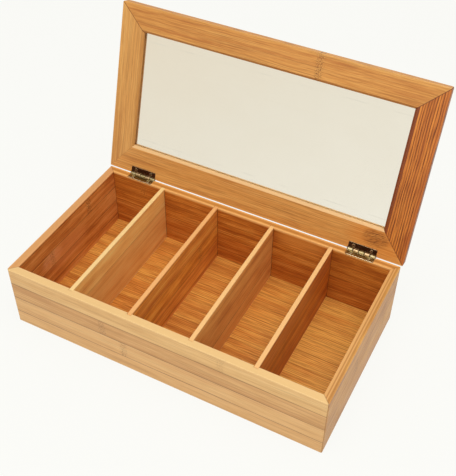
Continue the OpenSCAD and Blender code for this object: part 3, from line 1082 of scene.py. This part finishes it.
@dataclass
class Lid:
    """The lid: a mitred frame round a clear pane, standing open. Sizes are in millimetres."""

    width: float = 363.0
    front: float = -96.5
    back: float = 97.5
    thick: float = 9.0
    stile: float = 29.0
    free_rail: float = 28.5
    hinge_rail: float = 33.5
    under: float = 79.4

    def __post_init__(self) -> None:
        """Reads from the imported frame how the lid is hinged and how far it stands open."""
        joint = next(j for j in frame["joints"] if j["name"] == "lid_hinge")
        self.pivot = Vector(joint["pos_m"]) / MM
        self.open_deg = max(joint["range_deg"]) - min(joint["range_deg"])
        self.swing = Matrix.Translation(self.pivot) @ turned(-self.open_deg, "X") @ Matrix.Translation(-self.pivot)

    def swung(self, direction: Triple, start: float) -> tuple[Triple, float]:
        """Carries a measure of the closed lid over to the open one.

        Args:
            direction: The measure's direction on the closed lid.
            start: What is added to it there.

        Returns:
            The direction on the open lid, and what is added to that.
        """
        before = Vector(direction)
        after = turned(-self.open_deg, "X").to_3x3() @ before
        return tuple(after), start + (before - after).dot(self.pivot)

    def member(self, along: Triple, across: Triple, length: float, width: float, ends: tuple[float, float]) -> Board:
        """How a member of the lid's frame lies.

        Args:
            along: The direction it runs in, on the closed lid.
            across: The direction from its outer edge to the window, on the closed lid.
            length: Its length along the outer edge.
            width: Its width.
            ends: The widths of the members that it meets at its start and end.

        Returns:
            The board, without a pattern of its own.
        """
        middle = (self.front + self.back) / 2
        outer = self.width / 2 if across[0] else (self.back - self.front) / 2 + across[1] * -middle
        return Board(
            along=self.swung(along, -along[1] * middle), across=self.swung(across, outer),
            through=self.swung(Z, -self.under), length=length, width=width, thick=self.thick,
            strip=60.0, first=-15.0, mitre=Mitre.ACROSS, ends=ends,
        )

    def dress(self) -> None:
        """Gives the frame's members their bamboo and the pane its clear plastic."""
        stile, free, hinged, deep = self.stile, self.free_rail, self.hinge_rail, self.back - self.front
        dress_boards({
            "lid_front_rail": (FREE_RAIL_BAMBOO, replace(
                self.member(X, Y, self.width, free, (stile, stile)), seed=140.0, seams=(0.9, 0.9),
                marks=(Mark(50, 0, 0.9),),
            )),
            "lid_back_rail": (HINGE_RAIL_BAMBOO, replace(
                self.member((-1, 0, 0), (0, -1, 0), self.width, hinged, (stile, stile)), seed=151.0, seams=(0.8, 0.2),
                smudges=(
                    Smudge(-152, 16, (44, 30), (204, 106, 8), 0.45),
                    Smudge(-147, 21, (18, 13), (104, 52, 8), 0.95, 0.92),
                ),
            )),
            "lid_left_stile": (LEFT_STILE_BAMBOO, replace(
                self.member((0, -1, 0), X, deep, stile, (hinged, free)), seed=163.0, seams=(0.2, 0.9)
            )),
            "lid_right_stile": (RIGHT_STILE_BAMBOO, replace(
                self.member(Y, (-1, 0, 0), deep, stile, (free, hinged)), seed=177.0, seams=(0.9, 0.8)
            )),
        })
        middle = (self.front + free + self.back - hinged) / 2
        dress("lid_window", PaneFinish().make(
            "lid_window_plastic", self.swung(X, 0.0), self.swung(Y, -middle), self.width - 2 * stile,
            deep - free - hinged,
        ))


# ---- the hinges


class Side(Enum):
    """The hinge at one end of the box, as the sign of its place along X."""

    LEFT = -1
    RIGHT = 1


class Carrier(Enum):
    """What a leaf is screwed to, as the name of the body that it moves with."""

    BOX = "case"
    LID = "lid"


# both leaves are of one brass; the lid leaf's darker tones are painted shade for the dark reflection it shows
AGED_BRASS = MetalFinish(dull=(140, 120, 68), bright=(246, 234, 200), rough=0.26)
SHADED_LID_BRASS = MetalFinish(dull=(70, 46, 28), bright=(200, 170, 128), rough=0.3)


@dataclass(frozen=True)
class Leaf:
    """What sets one leaf apart: metal, first knuckle, its screws' length, and how worn its plate and knuckles are."""

    metal: MetalFinish
    first_knuckle: int
    screw_length: float
    plate_worn: float
    knuckles_worn: float


# each leaf's plate and knuckle wear is set to how bright they look, so it is partly painted highlight
LEAVES = {Carrier.BOX: Leaf(AGED_BRASS, 0, 12.0, 0.25, 0.4), Carrier.LID: Leaf(SHADED_LID_BRASS, 1, 7.0, 0.15, 0.75)}


@dataclass
class Hinge:
    """A butt hinge with two leaves, a headed pin, stop lugs and four countersunk screws, in millimetres.

    dish, screw_head and pin_head are each a radius and a depth or height. A roll is how round a plate's edges are,
    and bend how round a knuckle's are. The webs, which join the knuckles to the plate, lie web_over inside the plate,
    end web_end short of the axis and stand web_rise above the plate.
    """

    side: Side
    lid: Lid
    length: float = 32.0
    place: float = 136.0
    leaf_reach: float = 8.6
    leaf_thick: float = 1.0
    gap: float = 0.2
    corner: float = 2.0
    roll: float = 0.22
    dish: tuple[float, float] = (2.15, 0.75)
    web_roll: float = 0.1
    web_over: float = 0.6
    web_end: float = 0.9
    web_rise: float = 0.02
    knuckles: int = 5
    knuckle_r: float = 1.6
    knuckle_gap: float = 0.2
    knuckle_seam: float = 0.12
    bend: float = 0.16
    pin_r: float = 0.8
    pin_play: float = 0.05
    pin_head: tuple[float, float] = (1.2, 0.6)
    pin_worn: float = 0.8
    screw_apart: float = 20.0
    screw_head: tuple[float, float] = (1.75, 0.85)
    screw_r: float = 1.0
    lug_reach: float = 2.9
    lug_thick: float = 0.9
    lug_drop: float = 45.0
    lug_width: float = 1.6
    lug_play: float = 0.2
    lug_clear: float = 0.25
    lug_gap: float = 0.03
    lug_roll: float = 0.15

    def seat(self, carrier: Carrier) -> Matrix:
        """What moves a leaf, or its screws, from the hinge's axis to its place.

        Args:
            carrier: What the leaf is screwed to.

        Returns:
            The move. The lid's is the box's turned over and swung open.
        """
        moved = Matrix.Translation((self.side.value * self.place, self.lid.pivot.y, self.lid.pivot.z))
        return moved if carrier is Carrier.BOX else self.lid.swing @ moved @ turned(180, "Y")

    def screw_places(self) -> list[tuple[float, float]]:
        """Where a leaf's two screws are, X and Y from the axis."""
        y = -(self.leaf_reach + self.knuckle_r) / 2
        return [(side * self.screw_apart / 2, y) for side in (-1, 1)]

    def add_leaf(self, shell: Shell, carrier: Carrier) -> None:
        """Adds a leaf's plate, the webs that curl up from it and the knuckles that they end in.

        Args:
            shell: What they are added to.
            carrier: What the leaf is screwed to.
        """
        leaf, half = LEAVES[carrier], self.length / 2
        top, bottom, near = -self.gap, -self.gap - self.leaf_thick, -self.knuckle_r - self.knuckle_gap
        shell.add_slab(
            (-half, -self.leaf_reach, bottom), (half, near, top), self.roll, self.corner, self.screw_places(),
            self.dish, worn=leaf.plate_worn,
        )
        pitch = self.length / self.knuckles
        for i in range(leaf.first_knuckle, self.knuckles, 2):
            start = -half + i * pitch + self.knuckle_gap / 2
            end = start + pitch - self.knuckle_gap
            shell.add_slab(
                (start, near - self.web_over, bottom), (end, -self.web_end, top + self.web_rise), self.web_roll
            )
            self.add_knuckle(shell, start, end, leaf.knuckles_worn)

    def add_knuckle(self, shell: Shell, start: float, end: float, worn: float) -> None:
        """Adds a knuckle: a tube with a seam, whose outer rims are quarter circles of radius bend.

        Args:
            shell: What it is added to.
            start: Where it starts along the axis.
            end: Where it ends.
            worn: How worn it is.
        """
        ease = np.radians(np.linspace(0, 90, 5))
        outer, inner = self.knuckle_r, self.pin_r + self.pin_play
        mouth, throat, flare = 0.02, 0.4, 0.1
        along = np.concatenate([
            start + self.bend * (1 - np.sin(ease)), np.linspace(start + 1, end - 1, 5),
            end - self.bend * (1 - np.sin(ease[::-1])), [end - mouth, end - throat, start + throat, start + mouth],
        ])
        radius = np.concatenate([
            outer - self.bend * (1 - np.cos(ease[::-1])), np.full(5, outer), outer - self.bend * (1 - np.cos(ease)),
            [inner + flare, inner, inner, inner + flare],
        ])
        shell.add_turned(along, radius, closed=True, seam=self.knuckle_seam, worn=worn)

    def add_lugs(self, shell: Shell, carrier: Carrier) -> None:
        """Adds the lugs that meet behind the hinge when the lid is open: one on the box's leaf, two on the lid's.

        Args:
            shell: What they are added to.
            carrier: What the leaf is screwed to.
        """
        middle, play = self.length / self.knuckles / 2, self.lug_play
        far, root = middle + self.lug_width, (self.pin_r + self.knuckle_r) / 2
        if carrier is Carrier.BOX:
            turn, high = turned(-self.lug_drop, "X"), -self.lug_gap
            spans = [(-middle + play, middle - play, root), (-far, far, self.knuckle_r + self.lug_clear)]
        else:
            turn = turned(180, "Y") @ turned(self.lid.open_deg - self.lug_drop, "X")
            high = self.lug_gap + self.lug_thick
            spans = [(middle + play, far, root), (-far, -middle - play, root)]
        for low_x, high_x, low_y in spans:
            low = (low_x, low_y, high - self.lug_thick)
            shell.add_slab(low, (high_x, self.lug_reach, high), self.lug_roll, turn=turn)

    def add_pin(self, shell: Shell) -> None:
        """Adds the pin: a rod with a low dome of a quarter ellipse at each end.

        Args:
            shell: What it is added to.
        """
        end, bow = self.length / 2, np.radians(np.linspace(90, 0, 6))
        cap_radius, cap_along = self.pin_head[0] * np.cos(bow), end + self.pin_head[1] * np.sin(bow)
        ease = 0.05
        rim = self.pin_head[0] - ease
        along = np.concatenate([-cap_along, [-end, -end + ease, end - ease, end], cap_along[::-1]])
        radius = np.concatenate([cap_radius, [rim, self.pin_r, self.pin_r, rim], cap_radius[::-1]])
        shell.add_turned(along, np.where(radius < 1e-6, 0, radius), worn=self.pin_worn)

    def build(self) -> None:
        """Makes the leaves, the pin and the screws, which stand for the plain solids."""
        prefix = self.side.name.lower()
        for carrier, leaf in LEAVES.items():
            word, seat = carrier.name.lower(), self.seat(carrier)
            plate, screws = Shell(), Shell()
            self.add_leaf(plate, carrier)
            self.add_lugs(plate, carrier)
            self.place_piece(plate, f"{prefix}_hinge_{word}_leaf", carrier.value, leaf.metal, seat)
            for x, y in self.screw_places():
                screws.add_screw((x, y, -self.gap), self.screw_head, (self.screw_r, leaf.screw_length))
            self.place_piece(screws, f"{prefix}_{word}_screws", carrier.value, leaf.metal, seat)
        pin = Shell()
        self.add_pin(pin)
        self.place_piece(pin, f"{prefix}_hinge_pin", "case", AGED_BRASS, self.seat(Carrier.BOX))

    def place_piece(self, shell: Shell, node: str, body: str, metal: MetalFinish, seat: Matrix) -> None:
        """Makes a piece from its surface, dresses it and lets it stand for its plain solid.

        Args:
            shell: The surface, in millimetres about the hinge's axis.
            node: The solid's name.
            body: The body that it moves with.
            metal: Its finish.
            seat: What moves it to its place.
        """
        piece = shell.make(f"{node}_metal", seat)
        piece.data.materials.append(metal.make(f"{node}_metal"))
        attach(piece, body)
        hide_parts(node)
        LOG.info("%s: %d points", piece.name, len(piece.data.vertices))


# ---- floor, light and camera


@dataclass(frozen=True)
class Lamp:
    """A square soft lamp: where it hangs, what it faces, in metres, its size and its power."""

    name: str
    place: Triple
    faces: Triple
    size: float
    power: float


@dataclass
class Studio:
    """A plain pale floor under plain soft light, and a camera where the photograph was taken from."""

    white: Tone = (251, 251, 247)
    sky: float = 0.62
    floor_white: Tone = (238, 238, 234)
    floor_half: float = 4.0
    floor_level: float = -0.0002
    floor_glow: float = 0.92
    lamps: tuple[Lamp, ...] = (
        Lamp("overhead", (0.32, -0.30, 1.45), (0.0, 0.0, 0.05), 1.3, 14.0),
        Lamp("front", (-0.3, -1.6, 0.75), (0.0, 0.0, 0.08), 1.0, 6.0),
    )
    camera_place: Triple = (0.29611, -0.52161, 0.68988)
    camera_aim: Triple = (-0.3328, 0.64525, -0.68768)
    camera_roll_deg: float = -0.491
    lens_mm: float = 62.272

    def build(self) -> None:
        """Makes the world, the floor, the lamps and the camera."""
        bpy.context.scene.view_settings.view_transform = "Standard"
        self.add_world()
        self.add_floor()
        for lamp in self.lamps:
            self.add_lamp(lamp)
        self.add_camera()

    def add_world(self) -> None:
        """The world is white to the eye, and gives a softer even light."""
        world = bpy.data.worlds.new("plain")
        bpy.context.scene.world = world
        r = Recipe(world, "ShaderNodeOutputWorld")
        light, white = (
            r.node("ShaderNodeBackground", {"Color": colour, "Strength": strength}).outputs[0]
            for colour, strength in (((255, 255, 255), self.sky), (self.white, 1.0))
        )
        r.finish(r.blend(r.seen_directly(), light, white))

    def add_floor(self) -> None:
        """The floor is a wide flat sheet, nearly white to the eye, that keeps a faint shadow of the box."""
        count = 9
        steps = np.linspace(-self.floor_half, self.floor_half, count)
        xs, ys = np.meshgrid(steps, steps, indexing="ij")
        points = np.stack([xs, ys, np.full_like(xs, self.floor_level)], -1).reshape(-1, 3)
        i, j = np.meshgrid(np.arange(count - 1), np.arange(count - 1), indexing="ij")
        here = i * count + j
        quads = np.stack([here, here + count, here + count + 1, here + 1], -1).reshape(-1, 4)
        mesh = bpy.data.meshes.new("floor")
        mesh.from_pydata(points.tolist(), [], quads.tolist())
        r = Recipe(bpy.data.materials.new("floor_white"))
        lit = r.principled(Base_Color=self.floor_white, Roughness=0.9)
        shown = r.node("ShaderNodeEmission", {"Color": self.white, "Strength": 1.0}).outputs[0]
        mesh.materials.append(r.finish(r.blend(r.seen_directly() * self.floor_glow, lit, shown)))
        floor = add_object("floor", mesh)

    def add_lamp(self, lamp: Lamp) -> None:
        """Hangs a square soft lamp.

        Args:
            lamp: The lamp.
        """
        data = bpy.data.lights.new(lamp.name, "AREA")
        data.size = lamp.size
        data.energy = lamp.power
        light = add_object(lamp.name, data)
        light.location = lamp.place
        light.rotation_euler = (Vector(lamp.faces) - Vector(lamp.place)).to_track_quat("-Z", "Y").to_euler()

    def add_camera(self) -> None:
        """Sets up the camera, level but for a slight roll."""
        data = bpy.data.cameras.new("camera")
        data.lens = self.lens_mm
        data.sensor_width = 36.0
        data.clip_start, data.clip_end = 0.05, 50.0
        aim = Vector(self.camera_aim).normalized()
        level = aim.cross(Vector(Z)).normalized()
        roll = math.radians(self.camera_roll_deg)
        up = level.cross(aim) * math.cos(roll) + level * math.sin(roll)
        camera = add_object("camera", data)
        turn = Matrix((aim.cross(up), up, -aim)).transposed().to_4x4()
        camera.matrix_world = Matrix.Translation(self.camera_place) @ turn
        bpy.context.scene.camera = camera


def main() -> None:
    """Builds the stage and dresses the box."""
    logging.basicConfig(level=logging.INFO, format="%(name)s: %(message)s")
    Studio().build()
    Case().dress()
    Dividers().dress()
    lid = Lid()
    lid.dress()
    for side in Side:
        Hinge(side, lid).build()


if __name__ == "__main__":
    main()
